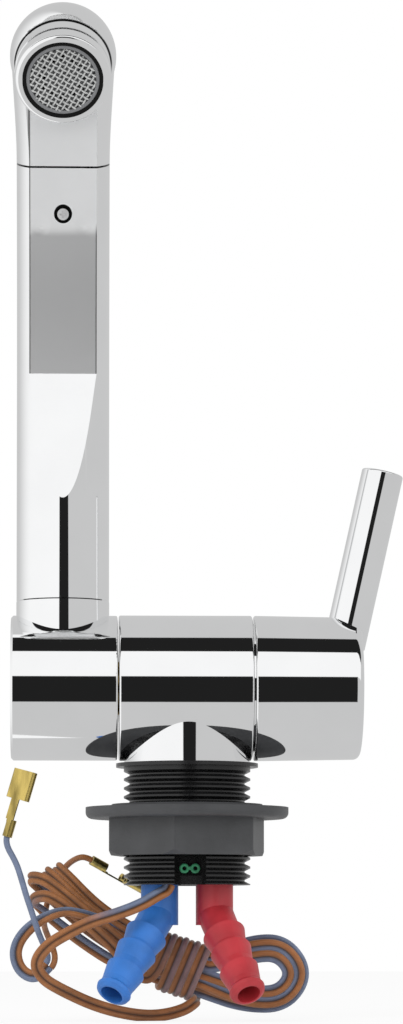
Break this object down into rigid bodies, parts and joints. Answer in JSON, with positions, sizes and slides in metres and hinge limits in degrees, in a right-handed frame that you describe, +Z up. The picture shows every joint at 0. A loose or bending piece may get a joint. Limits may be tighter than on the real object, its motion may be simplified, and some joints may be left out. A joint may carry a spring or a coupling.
{
  "type": "mixer tap",
  "caption": "Single-lever mixer tap with a fold-down, swivelling spout, a threaded stem with a clamping nut, hose tails and a pump switch cable.",
  "frame": {"origin": "on the stem's axis in the plane of the worktop that the stem's flange rests on", "axes": "+X along the barrel towards the lever, +Y away from the side the spout leans to, +Z up out of the worktop"},
  "size_m": [0.1056, 0.0668, 0.263],
  "materials": {
    "chrome": "polished chrome plating",
    "black_plastic": "moulded, slight gloss",
    "nut_plastic": "moulded, satin",
    "blue_plastic": "moulded, satin",
    "red_plastic": "moulded, satin",
    "green_plastic": "moulded",
    "white_plastic": "moulded",
    "tube_plastic": "drawn tube",
    "grey_plastic": "moulded",
    "switch_plastic": "moulded",
    "seal_rubber": "smooth",
    "steel": "turned",
    "pivot_brass": "turned",
    "terminal_brass": "stamped sheet",
    "cable_brown": "smooth insulation",
    "cable_blue": "smooth insulation"
  },
  "bodies": {
    "base": {"centre_body": "chrome", "mounting_stem": "black_plastic", "cartridge_body": "white_plastic", "cartridge_seals": "seal_rubber", "cartridge_nut": "white_plastic", "pivot_tube": "pivot_brass", "pivot_seals": "seal_rubber", "pivot_retainer": "steel", "snap_ring": "steel", "switch_body": "switch_plastic", "switch_lead": "cable_brown", "cold_tail": "blue_plastic", "hot_tail": "red_plastic", "tail_seals": "seal_rubber", "tail_clip": "green_plastic", "cable_lead": "cable_brown", "cable_hank": "cable_brown", "cable_tail": "cable_brown", "blue_core": "cable_blue", "brown_core": "cable_brown", "blue_terminal": "terminal_brass", "brown_terminal": "terminal_brass"},
    "knuckle": {"spout_knuckle": "chrome", "knuckle_core": "white_plastic"},
    "spout": {"spout_column": "chrome", "spout_head": "chrome", "swivel_bush": "black_plastic", "spout_tube": "tube_plastic", "spout_screw": "steel", "nozzle_insert": "white_plastic", "nozzle_ring": "chrome", "nozzle_seal": "seal_rubber", "aerator_housing": "black_plastic", "aerator_core": "grey_plastic", "aerator_mesh": "grey_plastic"},
    "handle": {"handle_cap": "chrome", "cap_carrier": "white_plastic", "lever_pin": "steel"},
    "lever": {"lever": "chrome"},
    "spindle": {"valve_spindle": "steel", "valve_seal": "seal_rubber", "mixing_disc": "white_plastic"},
    "plunger": {"switch_plunger": "white_plastic"},
    "washer": {"clamp_washer": "nut_plastic"},
    "nut": {"flange_nut": "nut_plastic"}
  },
  "joints": [
    {"name": "spout_fold", "type": "hinge", "parent": "base", "child": "knuckle", "pos_m": [-0.0327, 0, 0.02082], "axis": [1, 0, 0], "range_deg": [0, 90]},
    {"name": "spout_swivel", "type": "hinge", "parent": "knuckle", "child": "spout", "pos_m": [-0.0327, 0, 0.02082], "axis": [0, 0, 1], "range_deg": [-90, 90]},
    {"name": "handle_turn", "type": "hinge", "parent": "base", "child": "handle", "pos_m": [0.03, 0, 0.02082], "axis": [1, 0, 0], "range_deg": [-45, 45]},
    {"name": "lever_tilt", "type": "hinge", "parent": "handle", "child": "lever", "pos_m": [0.04089, 0, 0.02972], "axis": [0, 1, 0], "range_deg": [0, 20]},
    {"name": "spindle_slide", "type": "slide", "parent": "handle", "child": "spindle", "axis": [1, 0, 0], "range_m": [-0.0019, 0]},
    {"name": "plunger_slide", "type": "slide", "parent": "base", "child": "plunger", "axis": [1, 0, 0], "range_m": [-0.0019, 0]},
    {"name": "clamp_slide", "type": "slide", "parent": "base", "child": "washer", "axis": [0, 0, 1], "range_m": [0, 0.0094]},
    {"name": "nut_turn", "type": "hinge", "parent": "washer", "child": "nut", "pos_m": [0, 0, -0.0135], "axis": [0, 0, 1], "range_deg": [0, 1460]}
  ],
  "couplings": [
    {"joint": "spindle_slide", "follows": "lever_tilt", "m_per_rad": -0.005185},
    {"joint": "plunger_slide", "follows": "lever_tilt", "m_per_rad": -0.005185},
    {"joint": "clamp_slide", "follows": "nut_turn", "m_per_rad": 0.0003675}
  ]
}
